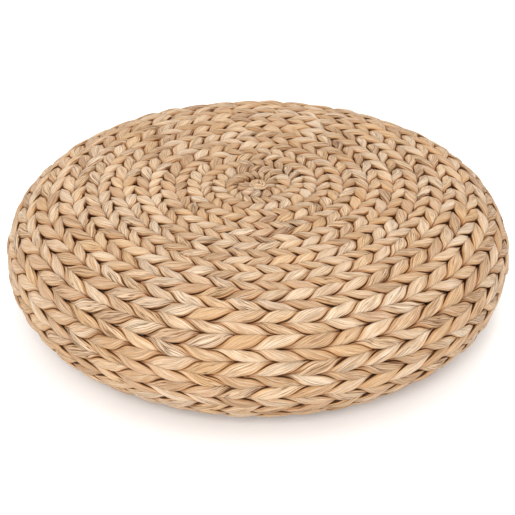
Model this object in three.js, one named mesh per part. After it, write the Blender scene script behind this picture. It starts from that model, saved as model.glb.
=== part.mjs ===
// Round woven floor seat: flat plant-fibre weavers twined in a spiral round the wire stakes of a
// welded frame, over the top, down the side and back under the base. Each lap of the spiral is a
// pair of twined rows, and is a solid of its own: the part of the weave outside the stakes.
// Millimetres, +Z up, origin on the floor under the centre.
import * as THREE from 'three';

// Driving dimensions
const RADIUS = 300;            // outside radius at the widest level
const TOP_RISE = 82;           // widest level up to the middle of the seat
const BASE_DROP = 88;          // widest level down to the floor
const BASE_FLAT_RADIUS = 170;  // the underside is flat inside this radius
const TOP_POWER = 6.5;         // how squarely the top turns over into the side
const TOP_ROUND = 0.5;
const BASE_POWER = 2.3;        // the same two for the lower edge
const BASE_ROUND = 0.45;

const LAPS = 23;               // laps of weave from the middle of the seat to the middle of the base
const WEAVE_DEPTH = 6;         // from the outside of the weave in to the stakes
const LAP_GAP = 0.6;           // between neighbouring laps
const END_GAP = 0.4;           // between the end of one lap and the start of the next
const BACK_SHARE = 0.4;        // half the width of a lap's inner face, as a share of the lap
const STEPS_PER_LAP = 24;
const SPIRAL_START = Math.PI / 3;  // where the spiral starts, anticlockwise from +X
const SIDE_LEVEL_SLOPE = 0.72; // laps whose face leans out more than this belong to the side

const STAKE_PAIRS = 24;        // each pair of stakes is one wire, bent back on itself at the middle
const STAKE_WIRE = 4;
const STAKE_SIDES = 4;
const STAKE_CLEARANCE = 2.8;   // weave to stake, enough for the flats of a lap's faceted ring
const STAKE_END_RADIUS = 58;   // the stakes end this far from the seat's axis
const BEND_STEPS = 5;          // in the bend that joins a pair
const STATION_TURN = 0.16;     // a stake has a station wherever it has turned this many radians
const STATION_SPACING = 60;    // and at least this often
const STATION_SEARCH = 1;

const HOOP_WIRE = 6;
const HOOP_SIDES = 6;
const WELD_GAP = 1;            // stake to hoop, where the weld beads are
const HUB_RADIUS = 66;         // inner hoops on the top and the base
const SHOULDER_RADIUS = 215;   // outer hoops on the top and the base

const FULL_TURN = 2 * Math.PI;

const weaveMaterial = (shade) => new THREE.MeshStandardMaterial(
  { color: new THREE.Color(0xc79a63).multiplyScalar(shade), roughness: 0.85, metalness: 0 });
const wireMaterial = () => new THREE.MeshStandardMaterial(
  { color: 0x4a4036, roughness: 0.5, metalness: 0.6 });

// The outside outline, from the middle of the seat round to the middle of the base.
function outlinePoints(samples) {
  const top = [];
  const base = [];
  for (let i = 0; i <= samples; i++) {
    const share = Math.sin((i / samples) * Math.PI / 2);
    const rise = TOP_RISE * (1 - share ** TOP_POWER) ** TOP_ROUND;
    top.push(new THREE.Vector2(RADIUS * share, BASE_DROP + rise));
    const drop = BASE_DROP * (1 - share ** BASE_POWER) ** BASE_ROUND;
    base.push(new THREE.Vector2(BASE_FLAT_RADIUS + (RADIUS - BASE_FLAT_RADIUS) * share, BASE_DROP - drop));
  }
  base.reverse();
  return [...top, ...base.slice(1), new THREE.Vector2(0, 0)];
}

// Turns the outline into a lookup by distance along it.
function makeOutline() {
  const points = outlinePoints(400);
  const distance = [0];
  for (let i = 1; i < points.length; i++) {
    distance.push(distance[i - 1] + points[i].distanceTo(points[i - 1]));
  }
  const length = distance[distance.length - 1];

  function segmentAt(s) {
    let i = 1;
    while (i < points.length - 1 && distance[i] < s) i++;
    return i;
  }

  // The point at distance s, moved in from the surface by depth.
  function at(s, depth = 0) {
    const i = segmentAt(s);
    const along = direction(s);
    const point = points[i - 1].clone().addScaledVector(along, s - distance[i - 1]);
    const outward = new THREE.Vector2(-along.y, along.x);
    return point.addScaledVector(outward, -depth);
  }

  // The outline's direction at s.
  function direction(s) {
    const i = segmentAt(s);
    return points[i].clone().sub(points[i - 1]).normalize();
  }

  // How far the surface leans out at s: 0 on the flat top or base, 1 on the upright side.
  function lean(s) {
    return Math.abs(direction(s).y);
  }

  // Distance along the outline at which it first, or last, has this radius.
  function distanceAtRadius(radius, onBase) {
    const onWay = (i) => (onBase ? points[i].x <= radius && i > points.length / 2 : points[i].x >= radius);
    let i = 1;
    while (!onWay(i)) i++;
    const share = (radius - points[i - 1].x) / (points[i].x - points[i - 1].x);
    return distance[i - 1] + share * (distance[i] - distance[i - 1]);
  }

  return { at, direction, lean, length, distanceAtRadius };
}

const outline = makeOutline();
const PITCH = outline.length / LAPS;

const place = (flat, angle) => new THREE.Vector3(flat.x * Math.cos(angle), flat.x * Math.sin(angle), flat.y);

// Skins a run of equal closed sections and closes both ends with a fan.
function skinSections(sections) {
  const count = sections[0].length;
  const vertices = sections.flat().flatMap((point) => point.toArray());
  const indices = [];
  for (let ring = 0; ring + 1 < sections.length; ring++) {
    for (let i = 0; i < count; i++) {
      const a = ring * count + i;
      const b = ring * count + (i + 1) % count;
      indices.push(a, b + count, b, a, a + count, b + count);
    }
  }
  const last = (sections.length - 1) * count;
  for (let i = 1; i + 1 < count; i++) {
    indices.push(0, i, i + 1);
    indices.push(last, last + i + 1, last + i);
  }
  const geometry = new THREE.BufferGeometry();
  geometry.setAttribute('position', new THREE.Float32BufferAttribute(vertices, 3));
  geometry.setIndex(indices);
  return geometry;
}

// One lap of weave. Its outer face lies on the outline, and it narrows inwards so that
// neighbouring laps stay clear of each other where the outline turns a corner.
function lapGeometry(lap) {
  const width = PITCH - LAP_GAP;
  const sections = [];
  for (let step = 0; step <= STEPS_PER_LAP; step++) {
    let angle = FULL_TURN * step / STEPS_PER_LAP;
    const middle = PITCH * (lap + angle / FULL_TURN);
    const endGap = END_GAP / outline.at(middle).x;
    if (step === 0) angle += endGap;
    if (step === STEPS_PER_LAP) angle -= endGap;
    const section = [
      outline.at(middle - width / 2),
      outline.at(middle - width * BACK_SHARE, WEAVE_DEPTH),
      outline.at(middle + width * BACK_SHARE, WEAVE_DEPTH),
      outline.at(middle + width / 2),
      outline.at(middle),
    ];
    sections.push(section.map((flat) => place(flat, angle)));
  }
  return skinSections(sections);
}

// The weave's coiled start or end: a snail-shaped plate whose edge meets the first full lap.
function centreCoilGeometry(mirrored) {
  const shape = new THREE.Shape();
  for (let step = 0; step <= STEPS_PER_LAP; step++) {
    const angle = FULL_TURN * step / STEPS_PER_LAP;
    const radius = PITCH * (step / STEPS_PER_LAP + 0.5) - LAP_GAP;
    const turn = mirrored ? -angle : angle;
    const point = [radius * Math.cos(turn), radius * Math.sin(turn)];
    if (step === 0) shape.moveTo(...point);
    else shape.lineTo(...point);
  }
  return new THREE.ExtrudeGeometry(shape, { depth: WEAVE_DEPTH, bevelEnabled: false });
}

// Distances along the outline from start to end, closer together where it bends.
function stationsAlong(start, end) {
  const stations = [start];
  for (let s = start; s < end - STATION_SEARCH; s += STATION_SEARCH) {
    const last = stations[stations.length - 1];
    const turned = outline.direction(last).angleTo(outline.direction(s));
    if (turned > STATION_TURN || s - last > STATION_SPACING) stations.push(s);
  }
  stations.push(end);
  return stations;
}

// A pair of stakes: one wire that runs in from the base, round the side and over the top at one
// angle, bends back on itself beside the middle, and runs back to the base at the next angle.
function stakePairGeometry(angle) {
  const depth = WEAVE_DEPTH + STAKE_CLEARANCE + STAKE_WIRE / 2;
  const start = outline.distanceAtRadius(STAKE_END_RADIUS, false);
  const end = outline.distanceAtRadius(STAKE_END_RADIUS, true);
  const half = FULL_TURN / STAKE_PAIRS / 4;
  const path = [];
  const leg = stationsAlong(start, end).map((s) => {
    const direction = outline.direction(s);
    return { spot: outline.at(s, depth), normal: new THREE.Vector2(-direction.y, direction.x) };
  });
  const addLeg = (stations, legAngle) => stations.forEach(({ spot, normal }) => {
    path.push({ point: place(spot, legAngle), normal: place(normal, legAngle) });
  });

  addLeg([...leg].reverse(), angle - half);
  const radial = place(new THREE.Vector2(1, 0), angle);
  const sideways = place(new THREE.Vector2(1, 0), angle + Math.PI / 2);
  const middle = radial.clone().multiplyScalar(leg[0].spot.x * Math.cos(half));
  middle.z = leg[0].spot.y;
  const bendRadius = leg[0].spot.x * Math.sin(half);
  for (let i = 1; i < BEND_STEPS; i++) {
    const turn = Math.PI * i / BEND_STEPS;
    const point = middle.clone()
      .addScaledVector(sideways, -bendRadius * Math.cos(turn))
      .addScaledVector(radial, -bendRadius * Math.sin(turn));
    path.push({ point, normal: new THREE.Vector3(0, 0, 1) });
  }
  addLeg(leg, angle + half);
  return skinSections(path.map((station, i) => wireSection(path, i)));
}

// The ring of corners round one station of a bent wire.
function wireSection(path, i) {
  const before = path[Math.max(i - 1, 0)].point;
  const after = path[Math.min(i + 1, path.length - 1)].point;
  const along = after.clone().sub(before).normalize();
  const across = path[i].normal.clone().cross(along).normalize();
  const out = along.clone().cross(across);
  const corners = [];
  for (let k = 0; k < STAKE_SIDES; k++) {
    const turn = FULL_TURN * k / STAKE_SIDES;
    corners.push(path[i].point.clone()
      .addScaledVector(out, STAKE_WIRE / 2 * Math.cos(turn))
      .addScaledVector(across, STAKE_WIRE / 2 * Math.sin(turn)));
  }
  return corners;
}

function hoop(name, distance) {
  const depth = WEAVE_DEPTH + STAKE_CLEARANCE + STAKE_WIRE + WELD_GAP + HOOP_WIRE / 2;
  const spot = outline.at(distance, depth);
  const geometry = new THREE.TorusGeometry(spot.x, HOOP_WIRE / 2, HOOP_SIDES, STEPS_PER_LAP);
  const mesh = new THREE.Mesh(geometry, wireMaterial());
  mesh.name = name;
  mesh.position.z = spot.y;
  return mesh;
}

function centreCoil(name, mirrored) {
  const mesh = new THREE.Mesh(centreCoilGeometry(mirrored), weaveMaterial(1));
  mesh.name = name;
  mesh.position.z = mirrored ? 0 : BASE_DROP + TOP_RISE - WEAVE_DEPTH;
  return mesh;
}

// Laps are counted along the weave, and named by the face that they cover.
function lapNames() {
  const counts = { top: 1, side: 0, base: 0 };
  const names = [];
  for (let lap = 1; lap < LAPS - 1; lap++) {
    const middle = PITCH * (lap + 0.5);
    const upright = outline.lean(middle) > SIDE_LEVEL_SLOPE;
    const face = upright ? 'side' : (outline.at(middle).y > BASE_DROP ? 'top' : 'base');
    counts[face] += 1;
    names.push(`weave_${face}_lap_${String(counts[face]).padStart(2, '0')}`);
  }
  return names;
}

function wovenCover() {
  const group = new THREE.Group();
  group.add(centreCoil('weave_top_centre_coil', false));
  lapNames().forEach((name, i) => {
    const shade = i % 2 ? 1 : 0.93;
    const mesh = new THREE.Mesh(lapGeometry(i + 1), weaveMaterial(shade));
    mesh.name = name;
    group.add(mesh);
  });
  group.add(centreCoil('weave_base_centre_coil', true));
  group.rotation.z = SPIRAL_START;
  return group;
}

function wireFrame() {
  const group = new THREE.Group();
  const widest = outline.distanceAtRadius(RADIUS - 0.001, false);
  group.add(hoop('frame_top_inner_hoop', outline.distanceAtRadius(HUB_RADIUS, false)));
  group.add(hoop('frame_top_outer_hoop', outline.distanceAtRadius(SHOULDER_RADIUS, false)));
  group.add(hoop('frame_middle_hoop', widest));
  group.add(hoop('frame_base_outer_hoop', outline.distanceAtRadius(SHOULDER_RADIUS, true)));
  group.add(hoop('frame_base_inner_hoop', outline.distanceAtRadius(HUB_RADIUS, true)));
  for (let i = 0; i < STAKE_PAIRS; i++) {
    const stakes = new THREE.Mesh(stakePairGeometry(FULL_TURN * i / STAKE_PAIRS), wireMaterial());
    stakes.name = `frame_stake_pair_${String(i + 1).padStart(2, '0')}`;
    group.add(stakes);
  }
  return group;
}

const seat = new THREE.Group();
seat.add(wovenCover());
seat.add(wireFrame());

export default seat;
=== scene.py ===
"""Looks for the round woven floor seat: twined plant-fibre weavers, wire frame and studio."""
import math

import bpy
import numpy as np
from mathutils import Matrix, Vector


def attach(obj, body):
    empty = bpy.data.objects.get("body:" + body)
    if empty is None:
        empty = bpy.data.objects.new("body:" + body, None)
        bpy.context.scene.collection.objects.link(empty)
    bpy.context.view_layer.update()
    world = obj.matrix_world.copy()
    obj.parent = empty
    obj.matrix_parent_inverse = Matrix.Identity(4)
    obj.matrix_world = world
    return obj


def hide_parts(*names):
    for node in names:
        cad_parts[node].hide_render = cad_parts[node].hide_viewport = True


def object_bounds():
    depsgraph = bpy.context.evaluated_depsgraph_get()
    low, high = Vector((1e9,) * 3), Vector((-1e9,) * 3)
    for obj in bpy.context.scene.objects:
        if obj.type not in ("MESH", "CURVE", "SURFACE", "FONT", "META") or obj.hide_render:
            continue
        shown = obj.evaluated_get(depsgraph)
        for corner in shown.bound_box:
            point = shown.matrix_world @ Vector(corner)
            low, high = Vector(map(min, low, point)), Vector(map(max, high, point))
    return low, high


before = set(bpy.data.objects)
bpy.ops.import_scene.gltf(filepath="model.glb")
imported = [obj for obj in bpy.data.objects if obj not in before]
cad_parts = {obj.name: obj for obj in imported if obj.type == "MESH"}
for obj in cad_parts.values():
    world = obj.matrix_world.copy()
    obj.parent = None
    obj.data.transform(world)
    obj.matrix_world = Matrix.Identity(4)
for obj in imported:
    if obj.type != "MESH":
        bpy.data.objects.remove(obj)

cad_low, cad_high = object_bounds()

# The outline, as the CAD model has it
RADIUS = (cad_high.x - cad_low.x) / 2
HEIGHT = cad_high.z - cad_low.z
WIDEST_LEVEL = 0.088
BASE_FLAT_RADIUS = 0.170
TOP_POWER, TOP_ROUND = 6.5, 0.5
BASE_POWER, BASE_ROUND = 2.3, 0.45
CURVE_SAMPLES = 3000
FLAT_SAMPLES = 400
OUTLINE_SAMPLES = 4000
TURN = 2 * math.pi
SPIRAL_START = TURN / 6
SPIRAL_SAMPLES = 60000

# The stakes that the rows are twined round
STAKES = 48
STAKE_DEPTH = 0.0088     # from the outside of the weave in to the stakes
STAKE_WIRE = 0.004
# They're woven in bundles near the middle: stitches in a turn, at distances along the outline
STITCHES_AT = (0.00, 0.02, 0.05, 0.08, 0.14, 0.17, 0.20)
STITCHES_PER_TURN = (10, 14, 21, 27, 38, 44, STAKES)

# A twined row: two flat weavers that cross between stakes, one passing in front of each stake
PARTING = -0.04          # where a lap's two rows meet, as a share of the lap from its middle
ROW_PLACE = 0.25         # a row's middle from there, as a share of the lap
SPREAD = 1.06            # how much wider than their share of the lap the rows are, pressed together
SINK = 0.0016            # the rows' level below the outline, which their bulges reach past
PRESSED = 0.001          # how near the floor the underside starts to be pressed flat
SQUARENESS = 9.0         # of the row's section: 2 is round
SIDE_SWELL = 0.09        # how far a weaver bulges where it turns round the row's edge
CROWN_SWELL = 0.20       # and in front of a stake
EARLY_CROWN = 0.15       # the bulge comes before the stake, which gives each stitch a round head
EDGE_DROP = 0.26         # how far a weaver's edges drop, as a share of its height
NOTCH_DROP = 0.50        # and how much further where the rows part, which opens the notches
EDGE_POWER = 7.0         # how near its edges the drop stays
NOTCH_POWER = 4.0        # how narrow the notches are, and
NOTCH_LENGTH = 6         # how short
SHOWN = (-0.35, 0.25)    # cosines of the turn from up between which drops and notches start to show
SIDE_TIGHTNESS = 0.42    # how much shallower both are on the side, where the rows are drawn tight
SHOULDER = (0.22, 0.30)  # distances from the middle between which they get tighter
WAVE = 0.0006            # how far the rows swing in and out at each stake
WAVE_AHEAD = 1.0         # in radians of the stitch
CREASE = 0.060           # depth of the folds along a weaver, as a share of its height
CREASE_PACE = (4.0, 0.9) # how often they change in half its width, and in a stitch along it
DENT = 0.025             # depth of the dents in it
DENT_PACE = (2.2, 1.7)
FAST_CROSSING = 0.12     # how much faster the weavers turn where they cross between stakes
LATE_TWIST = 0.12        # and how much faster they turn before a stake than after it
COVER = 0.985            # how much of its half of the row a weaver covers
SMALLEST = 0.35          # size of a row where it starts and ends, as a share of the full size
RINGS_PER_STITCH = 12
OUTER_POINTS = 21
INNER_POINTS = 5

# A weaver's hidden back
BACK_REACH = 0.55        # its half width, as a share of the row's
BACK_TAPER = 0.2         # how much narrower its ends are
BACK_GAP = 0.0004        # between the backs of the two weavers
STAKE_STEP = 0.0015      # in which a weaver drops behind the stake's wire
HIDDEN = 0.97            # how far behind a weaver is where it may be cut: 1 is straight behind

# The unevenness of handwork
TIMING_NOISE = 0.10      # in stitches: where the weavers cross
TIMING_PACE = 0.7        # changes in each stitch
EDGE_NOISE = 0.28        # in radians round the row: where a weaver's edges lie
EDGE_PACE = 0.8
WAVE_PACE = 0.4
EDGE_VARIES = 0.35       # how much the drops and bulges differ from stitch to stitch
NOTCH_VARIES = 0.5
CROWN_VARIES = 0.5
SWELL_VARIES = 0.9
ROW_DRIFT = 0.0020       # how far rows wander across
STITCH_DRIFT = 0.0030    # and stitches along
DRIFT_WAVES = (((31, 17, 23), 0.3), ((-22, 36, 12), 1.9),     # direction with pace, and phase
               ((13, -28, 41), 4.1), ((52, 44, -9), 5.0))
NARROWEST = 0.03         # inside this radius the stitches wander less
NARROWEST_FIBRE = 0.004  # least radius in measuring along a weaver
NOISE_ROWS_APART = 37.7  # along the noise's line, so that neighbouring rows of it differ

# Places in the fibre's grain, in metres
GRAIN_HALF_WIDTH = 0.012
GRAIN_BACK_WIDTH = 0.008
GRAIN_BACK_AT = 0.04
GRAIN_PER_STITCH = 0.37  # moves each stitch to another part of the grain
GRAIN_PER_WEAVER = 40

# The twist in the middle of the top
KNOT_RADIUS = 0.009      # where the rows start, round the knot
KNOT_TURNS = 3.2
KNOT_SPACING = 0.0036    # between its turns
KNOT_START = 0.25        # radius of its first turn, in spacings
KNOT_WOBBLE = 0.05       # how far from round it is
KNOT_PINCH = 0.24        # how far the strip narrows between its bulges
KNOT_BULGES = 1.1        # in each half turn, on average from the start, and
KNOT_MORE_BULGES = 0.25  # how many each turn adds to that
KNOT_FATNESS = 1.1       # width of the strip, in spacings
KNOT_UPRIGHT = 1.25      # how much higher than wide the strip is
KNOT_SINK = 0.0004       # its level below the rows'
KNOT_FALL = 0.0009       # and how much lower it gets with each turn
KNOT_DENT = 0.0005
KNOT_RINGS = 200
KNOT_POINTS = 12

# Loose fibre ends
SLIVER_SHARE = 0.985     # no sliver at rings whose fixed value is below this
SLIVER_FACING = -0.6     # none where the weaver is further behind: -1 is right in front
SLIVER_LOWEST = 0.015    # none under the base, where they'd be worn off
SLIVER_FIRST_PLACE = 4   # across the weaver, in points
SLIVER_PLACES = 9
SLIVER_RINGS = 7
SLIVER_WIDTH = 0.00035
SLIVER_LIFT = 0.0028
SLIVER_CURL = 1.5        # sideways, against its lift

# The studio: name, place, size and power of each lamp, and the camera
WORLD_STRENGTH = 1.17
LAMPS = (("key", (-0.25, -2.3, 1.6), 1.0, 48), ("fill", (0.4, 0.9, 2.4), 1.4, 20))
LAMP_TARGET = (0, 0, 0.1)
FLOOR_SIZE = 30
FLOOR_LEVEL = -0.001
CAMERA_ELEVATION = math.radians(30.5)
CAMERA_DISTANCE = 2.0
FOCAL_LENGTH = 1658 / 515     # in widths of the image
AIM_BELOW = 0.0187       # the camera's aim from the middle of the seat
AIM_SIDEWAYS = -0.0006


def smoothstep(x, low, high):
    t = np.clip((x - low) / (high - low), 0, 1)
    return t * t * (3 - 2 * t)


def hashed(i, seed):
    """One fixed value from -1 to 1 for each whole number. Seeds only keep the values apart."""
    v = np.sin(i * 12.9898 + seed * 78.233) * 43758.5453
    return 2 * (v - np.floor(v)) - 1


def value_noise(x, seed):
    """Smooth noise from -1 to 1 along x, with one knot at each whole number."""
    base = np.floor(x)
    t = smoothstep(x - base, 0, 1)
    return hashed(base, seed) * (1 - t) + hashed(base + 1, seed) * t


def value_noise_2d(x, y, seed):
    """Smooth noise from -1 to 1 over x and y."""
    base = np.floor(y)
    t = smoothstep(y - base, 0, 1)
    here, after = (value_noise(x + NOISE_ROWS_APART * row, seed) for row in (base, base + 1))
    return here * (1 - t) + after * t


def make_outline():
    """The outside outline as arrays of distance, radius, height and outward normal."""
    share = np.sin(np.linspace(0, math.pi / 2, CURVE_SAMPLES))
    top_z = WIDEST_LEVEL + (HEIGHT - WIDEST_LEVEL) * (1 - share**TOP_POWER) ** TOP_ROUND
    base_z = WIDEST_LEVEL * (1 - (1 - share**BASE_POWER) ** BASE_ROUND)
    base_r = BASE_FLAT_RADIUS + (RADIUS - BASE_FLAT_RADIUS) * share
    flat_r = np.linspace(BASE_FLAT_RADIUS, 0, FLAT_SAMPLES)[1:]
    radius = np.concatenate([RADIUS * share, base_r[::-1][1:], flat_r])
    height = np.concatenate([top_z, base_z[::-1][1:], np.zeros(len(flat_r))])
    distance = np.concatenate([[0], np.cumsum(np.hypot(np.diff(radius), np.diff(height)))])
    even = np.linspace(0, distance[-1], OUTLINE_SAMPLES)
    radius, height = np.interp(even, distance, radius), np.interp(even, distance, height)
    along = np.stack([np.gradient(radius, even), np.gradient(height, even)], 1)
    along /= np.linalg.norm(along, axis=1)[:, None]
    return even, radius, height, -along[:, 1], along[:, 0]


OUTLINE = make_outline()
LENGTH = OUTLINE[0][-1]
LAPS = len([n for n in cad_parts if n.startswith("weave_")])
PITCH = LENGTH / LAPS


def on_surface(angle, distance, lift):
    """World points at this angle round the axis and distance along the outline, lifted outwards."""
    angle = angle + SPIRAL_START
    mirrored = np.where(distance < 0, -1.0, 1.0)
    s, r, z, nr, nz = OUTLINE
    d = np.abs(distance)
    radius = np.interp(d, s, r) + lift * np.interp(d, s, nr)
    height = np.interp(d, s, z) + lift * np.interp(d, s, nz)
    radius = radius * mirrored
    return np.stack([radius * np.cos(angle), radius * np.sin(angle), height], -1)


# ---------------------------------------------------------------- the weave

def stitch_count():
    """Turn angle of the spiral against stitches woven so far, whole at each stake."""
    angle = np.linspace(-0.5 * math.pi, (LAPS + 0.5) * TURN, SPIRAL_SAMPLES)
    s = PITCH * angle / TURN
    per_turn = np.interp(np.minimum(s, LENGTH - s), STITCHES_AT, STITCHES_PER_TURN)
    count = np.concatenate([[0], np.cumsum(np.diff(angle) * per_turn[1:] / TURN)])
    middle = len(angle) // 2
    count += STAKES * angle[middle] / TURN - 0.5 - count[middle]
    return angle, count


def envelope(turn, wide):
    """A point of the row's squared-off section, across and up, at this turn from straight up."""
    quarter = np.abs((turn / (math.pi / 2) + 1) % 4 - 2) - 1       # 1 to the left, -1 to the right
    share = -0.5 * quarter + 0.5 * np.sin(turn)
    height = (1 - np.abs(np.clip(share, -1, 1)) ** SQUARENESS) ** (1 / SQUARENESS)
    return wide * share, STAKE_DEPTH * np.sign(np.cos(turn)) * height


def drift(points):
    """Slow unevenness of handwork, the same for everything near a point."""
    total = np.zeros(points.shape[:-1])
    for wave, phase in DRIFT_WAVES:
        total += np.sin(points @ np.array(wave, dtype=float) + phase)
    return total / len(DRIFT_WAVES)


def outer_face(seed, strand, s, stitch, twist, lobe, edges, half_row):
    """A weaver's face from edge to edge, as places across and up in the row's section."""
    start = (twist - math.pi / 2 + edges[0])[:, None]
    end = (twist + math.pi / 2 + edges[1])[:, None]
    share = face_places()
    turn = (start + end) / 2 + share * (end - start) / 2 * COVER
    along = np.repeat(stitch[:, None], OUTER_POINTS, 1)

    loose = 1 - SIDE_TIGHTNESS * smoothstep(s, *SHOULDER)
    drop = EDGE_DROP * (loose * (1 + EDGE_VARIES * hashed(lobe, seed + 5)))[:, None]
    notch = np.where(share < 0, np.sin(start), np.sin(end)) ** NOTCH_LENGTH
    notch = notch * NOTCH_DROP * (loose * (1 + NOTCH_VARIES * hashed(lobe, seed + 4)))[:, None]
    shown = smoothstep(np.cos(turn), *SHOWN)
    fill = 1 - shown * (drop * np.abs(share) ** EDGE_POWER + notch * np.abs(share) ** NOTCH_POWER)

    def unevenness(pace, kind):
        return value_noise_2d(share * pace[0] + 9 * strand, along * pace[1], seed + kind)

    fill = fill + DENT * unevenness(DENT_PACE, 1)
    fill = fill - CREASE * (1 - np.abs(unevenness(CREASE_PACE, 2))) ** 3
    swell = np.cos(twist + EARLY_CROWN) * (1 + CROWN_VARIES * hashed(lobe, seed + 6))
    fill = fill + CROWN_SWELL * swell[:, None]

    bulge = SIDE_SWELL * np.sin(twist) ** 2 * (1 + SWELL_VARIES * hashed(lobe, seed + 11))
    across, up = envelope(turn, half_row * (1 + bulge[:, None]))
    return np.stack([across * np.minimum(0.5 + 0.5 * fill, 1), up * fill], -1)


def hidden_back(twist, edges, half_row):
    """A weaver's back, nearly flat, against the other weaver's."""
    facing = (twist + (edges[0] + edges[1]) / 2)[:, None]
    back = back_places()
    reach = BACK_REACH * (1 - BACK_TAPER * np.abs(back))
    return np.stack([
        np.sin(facing + math.pi / 2) * back * reach * half_row + np.sin(facing) * BACK_GAP,
        np.cos(facing + math.pi / 2) * back * reach * STAKE_DEPTH + np.cos(facing) * BACK_GAP,
    ], -1)


def face_places():
    """Places across a weaver's face from -1 to 1, closer together at its edges."""
    even = np.linspace(-1, 1, OUTER_POINTS)[None, :]
    return (even + np.sin(even * math.pi / 2)) / 2


def back_places():
    return np.linspace(1, -1, INNER_POINTS + 2)[None, 1:-1]


def weaver(row, strand, route):
    """One weaver of one row: its vertices ring by ring, with the values that the material reads.

    row is -1 for a lap's inner row and 1 for its outer one, which is twined the other way."""
    angle_of, count_of = route
    middle = PARTING / 2 + row * ROW_PLACE
    half_row = SPREAD * PITCH * (ROW_PLACE - row * PARTING / 2)
    first = TURN * (KNOT_RADIUS / PITCH - middle)
    last = TURN * (LAPS - middle)
    limits = np.interp([first, last], angle_of, count_of)
    stitch = np.linspace(*limits, int((limits[1] - limits[0]) * RINGS_PER_STITCH))
    seed = 10 * (row + 2) + strand
    angle = np.interp(stitch, count_of, angle_of)
    s = np.clip(PITCH * (angle / TURN + middle), 0, LENGTH)
    crowd = np.clip(np.minimum(s - KNOT_RADIUS, LENGTH - s) / half_row, SMALLEST, 1)

    timing = stitch + TIMING_NOISE * value_noise(stitch * TIMING_PACE, 3 + row)
    twist = math.pi * timing - FAST_CROSSING * np.sin(TURN * timing)
    twist += LATE_TWIST * (np.cos(TURN * timing) - 1) + math.pi * strand
    lobe = np.floor((twist + math.pi) / TURN)       # changes while the weaver is behind the stakes
    edges = [EDGE_NOISE * value_noise(stitch * EDGE_PACE, 7 + side + 3 * row)
             for side in (strand, 1 - strand)]

    outer = outer_face(seed, strand, s, stitch, twist, lobe, edges, half_row)
    inner = hidden_back(twist, edges, half_row)
    section = np.concatenate([outer, inner], 1) * crowd[:, None, None]
    across, up = section[..., 0], section[..., 1]
    up = up - STAKE_WIRE * smoothstep(-up, 0, STAKE_STEP)

    distance = s[:, None] - row * across
    plain = on_surface(angle[:, None], distance, 0)
    distance = distance + ROW_DRIFT * crowd[:, None] * drift(plain)
    wave = np.sin(TURN * timing + WAVE_AHEAD) * (1 + value_noise(stitch * WAVE_PACE, 12))
    distance = distance + (WAVE * crowd * wave)[:, None]
    sideways = STITCH_DRIFT * drift(plain[..., [1, 2, 0]])
    reach_in = np.maximum(np.hypot(plain[..., 0], plain[..., 1]), NARROWEST)
    points = on_surface(angle[:, None] + sideways / reach_in, distance, up - STAKE_DEPTH - SINK)
    height = points[..., 2]
    pressed = PRESSED * np.exp(np.minimum(height, PRESSED) / PRESSED - 1)
    points[..., 2] = np.where(height < PRESSED, pressed, height)

    count = OUTER_POINTS + INNER_POINTS
    radius = np.maximum(np.interp(s, OUTLINE[0], OUTLINE[1]), NARROWEST_FIBRE)
    length = np.concatenate([[0], np.cumsum(np.diff(angle) * radius[1:])]) + GRAIN_PER_WEAVER * seed
    share, back = face_places(), back_places()
    spread = np.concatenate([share * GRAIN_HALF_WIDTH, back * GRAIN_BACK_WIDTH + GRAIN_BACK_AT], 1)
    fibre = np.stack([
        np.repeat(length[:, None], count, 1),
        np.repeat(spread, len(stitch), 0),
        np.repeat(lobe[:, None] * GRAIN_PER_STITCH, count, 1),
    ], -1)
    # edge runs from 0 in a face's middle to 1 at its edges, and is 1 on the hidden back; the
    # material paints shade by it and by level, how far a point lies below the weave's face
    edge = np.repeat(np.concatenate([np.abs(share), np.ones_like(back)], 1), len(stitch), 0)
    tone = np.stack([hashed(lobe, seed + k) for k in (3, 8, 9)], -1)
    tone = np.repeat(tone[:, None, :], count, 1)
    return {"row": row, "seed": seed, "angle": angle, "behind": -np.cos(twist), "points": points,
            "fibre": fibre, "tone": tone, "edge": edge, "level": up - STAKE_DEPTH}


def sliver_spots(run, first, last):
    """Rings and places across this stretch of a weaver where a loose fibre leaves it."""
    for ring in range(first, last - RINGS_PER_STITCH):
        low = run["points"][ring, OUTER_POINTS // 2, 2] < SLIVER_LOWEST
        unseen = run["behind"][ring] > SLIVER_FACING or low
        if hashed(ring, 20 + run["seed"]) < SLIVER_SHARE or unseen:
            continue
        yield ring, SLIVER_FIRST_PLACE + int(SLIVER_PLACES * abs(hashed(ring, 31)))


def loose_fibre(run, ring, place):
    """A sliver that leaves the weaver's surface: three-sided rings, narrowing to its free end."""
    steps = np.arange(SLIVER_RINGS)
    base = run["points"][ring + steps, place]
    root, towards = run["points"][ring, place], run["points"][ring, place + 2]
    outward = np.cross(base[1] - base[0], towards - root) * run["row"]
    outward /= np.linalg.norm(outward)
    sideways = (towards - root) / np.linalg.norm(towards - root)
    share = (steps / (SLIVER_RINGS - 1))[:, None]
    lift = SLIVER_LIFT * (0.7 + 0.5 * hashed(ring, 21)) * share ** 1.6 - SLIVER_WIDTH
    curl = SLIVER_LIFT * SLIVER_CURL * hashed(ring, 22) * share ** 2
    length = 0.6 + 0.3 * hashed(ring, 23)
    middle = root + (base - root) * length + outward * lift + sideways * curl
    width = SLIVER_WIDTH * (1.15 - share)
    corners = [middle + sideways * width, middle - sideways * width, middle + outward * width * 0.7]
    return np.stack(corners, 1)


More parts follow.
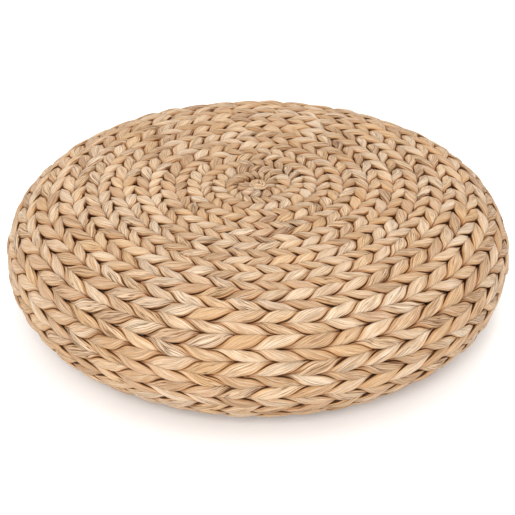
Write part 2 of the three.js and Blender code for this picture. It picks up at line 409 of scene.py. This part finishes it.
def centre_knot():
    """The tight twist that the weaving starts from: a narrow strip wound round and round."""
    turn = np.linspace(0, KNOT_TURNS * TURN, KNOT_RINGS)
    turns = turn / TURN
    radius = KNOT_SPACING * (KNOT_START + turns) * (1 + KNOT_WOBBLE * np.sin(3 * turn))
    ring = np.linspace(0, TURN, KNOT_POINTS, endpoint=False)[None, :]
    pinching = turn * (KNOT_BULGES + KNOT_MORE_BULGES * turns)
    pinch = 1 - KNOT_PINCH * np.abs(np.sin(pinching))[:, None] ** 6
    ending = smoothstep(KNOT_TURNS * TURN - turn, -1.5, 1.5)[:, None]
    half = 0.5 * KNOT_SPACING * KNOT_FATNESS * pinch * ending
    reach = radius[:, None] + half * np.cos(ring)
    dents = KNOT_DENT * value_noise(turn * 1.3, 41)
    strip_height = HEIGHT - SINK - KNOT_SINK - KNOT_FALL * turns + dents
    height = strip_height[:, None] + KNOT_UPRIGHT * half * np.sin(ring)
    angle = np.repeat(SPIRAL_START + turn[:, None], KNOT_POINTS, 1)
    lobe = np.floor(pinching / math.pi)
    tone = np.stack([hashed(lobe, k) for k in (51, 52, 53)], -1)
    grain_place = np.repeat(GRAIN_PER_STITCH * lobe[:, None], KNOT_POINTS, 1)
    edge = np.clip(-2 * np.sin(ring), 0, 1)     # its lower half gets the painted shade of a weaver's edges
    return {
        "points": np.stack([reach * np.cos(angle), reach * np.sin(angle), height], -1),
        "fibre": np.stack([radius[:, None] * angle, ring * half, grain_place], -1),
        "tone": np.repeat(tone[:, None, :], KNOT_POINTS, 1),
        "edge": np.repeat(edge, KNOT_RINGS, 0),
        "level": 2.0 * half * (np.sin(ring) - 0.6),     # painted shade: pale on top, brown down its sides
    }


def tube_faces(rings, offset, sides, outward):
    """Quads round a run of rings, with one many-sided face closing each end."""
    ring = np.arange(rings - 1)[:, None] * sides
    a = ring + np.arange(sides)[None, :]
    b = ring + (np.arange(sides)[None, :] + 1) % sides
    quads = np.stack([a, b, b + sides, a + sides], -1).reshape(-1, 4) + offset
    start = [offset + i for i in range(sides)][::-1]
    end = [offset + (rings - 1) * sides + i for i in range(sides)]
    faces = quads.tolist() + [start, end]
    return faces if outward else [face[::-1] for face in faces]


def lap_cut(run, lap_angle):
    """The ring nearest this turn angle at which the weaver is hidden behind a stake."""
    gap = np.where(run["behind"] > HIDDEN, np.abs(run["angle"] - lap_angle), math.inf)
    return int(np.argmin(gap))


class Bodies:
    """Closed tubes gathered for one piece, with the values that the material reads."""

    KINDS = {"fibre": "FLOAT_VECTOR", "tone": "FLOAT_VECTOR", "edge": "FLOAT", "level": "FLOAT"}

    def __init__(self):
        self.points = []
        self.faces = []
        self.values = {key: [] for key in self.KINDS}
        self.count = 0

    def add(self, points, values, outward):
        """points is rings by sides by 3, and each of values has a row for every point."""
        rings, sides = points.shape[:2]
        self.faces += tube_faces(rings, self.count, sides, outward)
        self.points.append(points.reshape(-1, 3))
        for key in self.KINDS:
            self.values[key].append(values[key].reshape(rings * sides, -1))
        self.count += rings * sides

    def piece(self, name):
        mesh = bpy.data.meshes.new(name)
        mesh.from_pydata(np.concatenate(self.points).tolist(), [], self.faces)
        for key, kind in self.KINDS.items():
            layer = mesh.attributes.new(key, kind, "POINT")
            field = "vector" if kind == "FLOAT_VECTOR" else "value"
            values = np.concatenate(self.values[key]).astype(np.float32)
            layer.data.foreach_set(field, values.ravel())
        mesh.shade_smooth()
        mesh.validate()
        piece = bpy.data.objects.new(name, mesh)
        bpy.context.scene.collection.objects.link(piece)
        return piece


def add_weaver(bodies, run, first, last):
    """Adds the rings first to last of a weaver, with the loose fibres on them."""
    outward = run["row"] < 0
    stretch = {key: run[key][first:last] for key in Bodies.KINDS}
    bodies.add(run["points"][first:last], stretch, outward)
    for ring, place in sliver_spots(run, first, last):
        sliver = loose_fibre(run, ring, place)
        corners = sliver.shape[0] * sliver.shape[1]
        root = {key: run[key][ring, place].reshape(1, -1) for key in Bodies.KINDS}
        bodies.add(sliver, {key: np.repeat(root[key], corners, 0) for key in root}, outward)


def build_weave(material):
    """For each lap, one closed tube per weaver, cut where the weaver is out of sight."""
    route = stitch_count()
    runs = [weaver(row, strand, route) for row in (-1, 1) for strand in (0, 1)]
    for lap, node in enumerate(lap_nodes()):
        bodies = Bodies()
        for run in runs:
            first = 0 if lap == 0 else lap_cut(run, lap * TURN)
            last = len(run["angle"]) if lap == LAPS - 1 else lap_cut(run, (lap + 1) * TURN) + 1
            add_weaver(bodies, run, first, last)
        if lap == 0:
            knot = centre_knot()
            bodies.add(knot["points"], knot, False)
        piece = bodies.piece(node.replace("weave", "weavers"))
        piece.data.materials.append(material)
        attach(piece, "root")
        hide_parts(node)


def lap_nodes():
    """The CAD nodes of the weave in their order along the spiral."""
    names = [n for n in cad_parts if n.startswith("weave_")]
    faces = {"top": 0, "side": 1, "base": 2}

    def order(name):
        face = name.split("_")[1]
        if name.endswith("centre_coil"):
            return (faces[face], 0 if face == "top" else LAPS)
        return (faces[face], int(name[-2:]))

    return sorted(names, key=order)


# ---------------------------------------------------------------- materials

class Nodes:
    """Short helper for building a node material."""

    def __init__(self, name):
        self.material = bpy.data.materials.new(name)
        self.material.use_nodes = True
        self.tree = self.material.node_tree
        self.shader = self.tree.nodes["Principled BSDF"]

    def add(self, kind, **settings):
        node = self.tree.nodes.new("ShaderNode" + kind)
        for key, value in settings.items():
            setattr(node, key, value)
        return node

    def link(self, source, target):
        self.tree.links.new(source, target)

    def attribute(self, name, output):
        return self.add("Attribute", attribute_name=name).outputs[output]

    def scaled(self, vector, scale):
        node = self.add("VectorMath", operation="MULTIPLY")
        self.link(vector, node.inputs[0])
        node.inputs[1].default_value = scale
        return node.outputs[0]

    def split(self, vector):
        node = self.add("SeparateXYZ")
        self.link(vector, node.inputs[0])
        return node.outputs[0], node.outputs[1], node.outputs[2]

    def noise(self, vector, scale, detail, rough=0.55):
        node = self.add("TexNoise")
        self.link(vector, node.inputs["Vector"])
        node.inputs["Scale"].default_value = scale
        node.inputs["Detail"].default_value = detail
        node.inputs["Roughness"].default_value = rough
        return node.outputs["Fac"]

    def ramp(self, value, stops):
        node = self.add("ValToRGB")
        while len(node.color_ramp.elements) < len(stops):
            node.color_ramp.elements.new(0.5)
        for element, (place, colour) in zip(node.color_ramp.elements, stops):
            element.position = place
            element.color = (*colour, 1)
        self.link(value, node.inputs["Fac"])
        return node.outputs["Color"]

    def remap(self, value, from_low, from_high, to_low=0.0, to_high=1.0):
        node = self.add("MapRange")
        self.link(value, node.inputs["Value"])
        for key, number in (("From Min", from_low), ("From Max", from_high),
                            ("To Min", to_low), ("To Max", to_high)):
            node.inputs[key].default_value = number
        return node.outputs["Result"]

    def math(self, operation, *values):
        node = self.add("Math", operation=operation)
        for socket, value in zip(node.inputs, values):
            if isinstance(value, float):
                socket.default_value = value
            else:
                self.link(value, socket)
        return node.outputs[0]

    def mix(self, amount, a, b, mode="MIX"):
        """Blends socket a towards the colour b."""
        node = self.add("Mix", data_type="RGBA", blend_type=mode)
        self.link(amount, node.inputs[0])
        self.link(a, node.inputs[6])
        node.inputs[7].default_value = (*b, 1)
        return node.outputs[2]

    def bump(self, height, distance, strength=1.0):
        node = self.add("Bump")
        self.link(height, node.inputs["Height"])
        node.inputs["Distance"].default_value = distance
        node.inputs["Strength"].default_value = strength
        self.link(node.outputs["Normal"], self.shader.inputs["Normal"])


def fibre_material():
    """Dry plant fibre: long fine grain along each weaver, tan to cream, with painted shade: brown
    down in the gaps and at the weavers' edges.
    """
    m = Nodes("dry_fibre")
    fibre = m.attribute("fibre", "Vector")
    level = m.attribute("level", "Fac")
    edge = m.attribute("edge", "Fac")
    light, pink, lined = m.split(m.attribute("tone", "Vector"))
    grain = m.noise(m.scaled(fibre, (26, 900, 900)), 1.0, 5.0, 0.7)
    fine = m.noise(m.scaled(fibre, (22, 1500, 900)), 1.0, 3.0, 0.7)
    split = m.noise(m.scaled(fibre, (16, 360, 900)), 1.0, 1.0, 0.5)
    patch = m.noise(m.scaled(fibre, (45, 120, 60)), 1.0, 2.0)
    straw = m.ramp(grain, [
        (0.32, (0.185, 0.080, 0.028)),
        (0.42, (0.450, 0.255, 0.112)),
        (0.51, (0.630, 0.440, 0.278)),
        (0.60, (0.715, 0.570, 0.418)),
        (0.70, (0.770, 0.700, 0.590)),
    ])
    # each stitch has a tone of its own
    cream = m.mix(m.remap(light, 0.0, 1.0, 0.0, 0.42), straw, (0.745, 0.645, 0.510))
    dull = m.mix(m.remap(light, 0.0, -1.0, 0.0, 0.55), cream, (0.382, 0.224, 0.12))
    rosy = m.mix(m.remap(pink, 0.1, 1.0, 0.0, 0.30), dull, (0.535, 0.345, 0.220))
    gold = m.mix(m.remap(pink, -0.1, -1.0, 0.0, 0.32), rosy, (0.665, 0.400, 0.170))
    blotch = m.mix(m.remap(patch, 0.52, 0.75, 0.0, 0.55), gold, (0.458, 0.252, 0.101))
    # fine dark lines and splits between fibres
    hair = m.mix(m.remap(fine, 0.46, 0.37, 0.0, 0.8), blotch, (0.25, 0.108, 0.034))
    slit = m.remap(m.math("ABSOLUTE", m.math("SUBTRACT", split, 0.5)), 0.026, 0.012)
    slits = m.math("MULTIPLY", slit, m.remap(lined, -0.5, 0.9, 0.20, 0.95))
    lines = m.mix(slits, hair, (0.16, 0.064, 0.019))
    # painted shade: browner and darker down in the gaps between weavers, towards their edges and
    # where they meet
    # painted shade: browner the further a point lies down in a gap
    painted_gap_shade = m.mix(m.remap(level, -0.0004, -0.0034, 0.0, 1.0), lines, (0.72, 0.46, 0.28), "MULTIPLY")
    # painted shade: each weaver browner towards its edges, where it rounds away
    sides = m.mix(m.remap(edge, 0.55, 0.97, 0.0, 0.85), painted_gap_shade, (0.84, 0.65, 0.43), "MULTIPLY")
    # painted shade: thin dark lines at the weavers' edges, where they dive under their neighbours,
    # and on their hidden backs
    painted_edge_line_shade = m.mix(m.remap(edge, 0.91, 0.99, 0.0, 0.95), sides, (0.075, 0.027, 0.008))
    # painted shade: dark brown deepest down in the gaps
    painted_deep_shade = m.mix(m.remap(level, -0.0032, -0.0075, 0.0, 0.9), painted_edge_line_shade, (0.13, 0.046, 0.015))
    m.link(painted_deep_shade, m.shader.inputs["Base Color"])
    m.link(m.remap(grain, 0.3, 0.7, 0.72, 0.5), m.shader.inputs["Roughness"])
    m.shader.inputs["Specular IOR Level"].default_value = 0.2
    m.bump(m.math("SUBTRACT", m.math("ADD", grain, fine), slits), 0.0009)
    return m.material


def wire_material():
    """Brown powder coat with a faint orange-peel skin."""
    m = Nodes("powder_coat")
    place = m.add("TexCoord").outputs["Object"]
    peel = m.noise(place, 900, 2.0)
    shade = m.noise(place, 14, 3.0)
    m.link(m.ramp(shade, [(0.3, (0.045, 0.034, 0.026)), (0.7, (0.075, 0.058, 0.044))]),
           m.shader.inputs["Base Color"])
    m.shader.inputs["Roughness"].default_value = 0.6
    m.shader.inputs["Specular IOR Level"].default_value = 0.1
    m.bump(peel, 0.0001, 0.4)
    return m.material


def paint_frame(material):
    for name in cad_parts:
        if name.startswith("frame_"):
            bpy.data.objects[name].data.materials.clear()
            bpy.data.objects[name].data.materials.append(material)


# ---------------------------------------------------------------- studio

def studio_floor():
    m = Nodes("studio_floor")
    place = m.add("TexCoord").outputs["Object"]
    m.link(m.ramp(m.noise(place, 3, 2.0), [(0.3, (0.94, 0.94, 0.94)), (0.7, (0.95, 0.95, 0.95))]),
           m.shader.inputs["Base Color"])
    m.shader.inputs["Roughness"].default_value = 0.9
    bpy.ops.mesh.primitive_plane_add(size=FLOOR_SIZE, location=(0, 0, FLOOR_LEVEL))
    floor = bpy.context.object
    floor.name = "floor"
    floor.data.materials.append(m.material)


def aimed(holder, place, target):
    """Puts a lamp or the camera in the scene, looking at the target."""
    holder.location = place
    holder.rotation_euler = (Vector(target) - Vector(place)).to_track_quat("-Z", "Y").to_euler()
    bpy.context.scene.collection.objects.link(holder)


def studio_lights():
    world = bpy.data.worlds.new("soft_white")
    world.use_nodes = True
    world.node_tree.nodes["Background"].inputs["Color"].default_value = (1, 1, 1, 1)
    world.node_tree.nodes["Background"].inputs["Strength"].default_value = WORLD_STRENGTH
    bpy.context.scene.world = world
    for name, place, size, power in LAMPS:
        data = bpy.data.lights.new(name, "AREA")
        data.size = size
        data.energy = power
        aimed(bpy.data.objects.new(name, data), place, LAMP_TARGET)


def photo_camera():
    """Looks down at the seat from the front, framed as a product shot is."""
    data = bpy.data.cameras.new("camera")
    data.lens = FOCAL_LENGTH * data.sensor_width
    camera = bpy.data.objects.new("camera", data)
    middle = Vector((0, 0, WIDEST_LEVEL))
    back = Vector((0, -math.cos(CAMERA_ELEVATION), math.sin(CAMERA_ELEVATION)))
    upward = Vector((0, math.sin(CAMERA_ELEVATION), math.cos(CAMERA_ELEVATION)))
    aim = middle - upward * AIM_BELOW + Vector((AIM_SIDEWAYS, 0, 0))
    aimed(camera, middle + back * CAMERA_DISTANCE, aim)
    bpy.context.scene.camera = camera


photo_camera()
studio_floor()
studio_lights()
bpy.context.scene.view_settings.view_transform = "Standard"
paint_frame(wire_material())
build_weave(fibre_material())
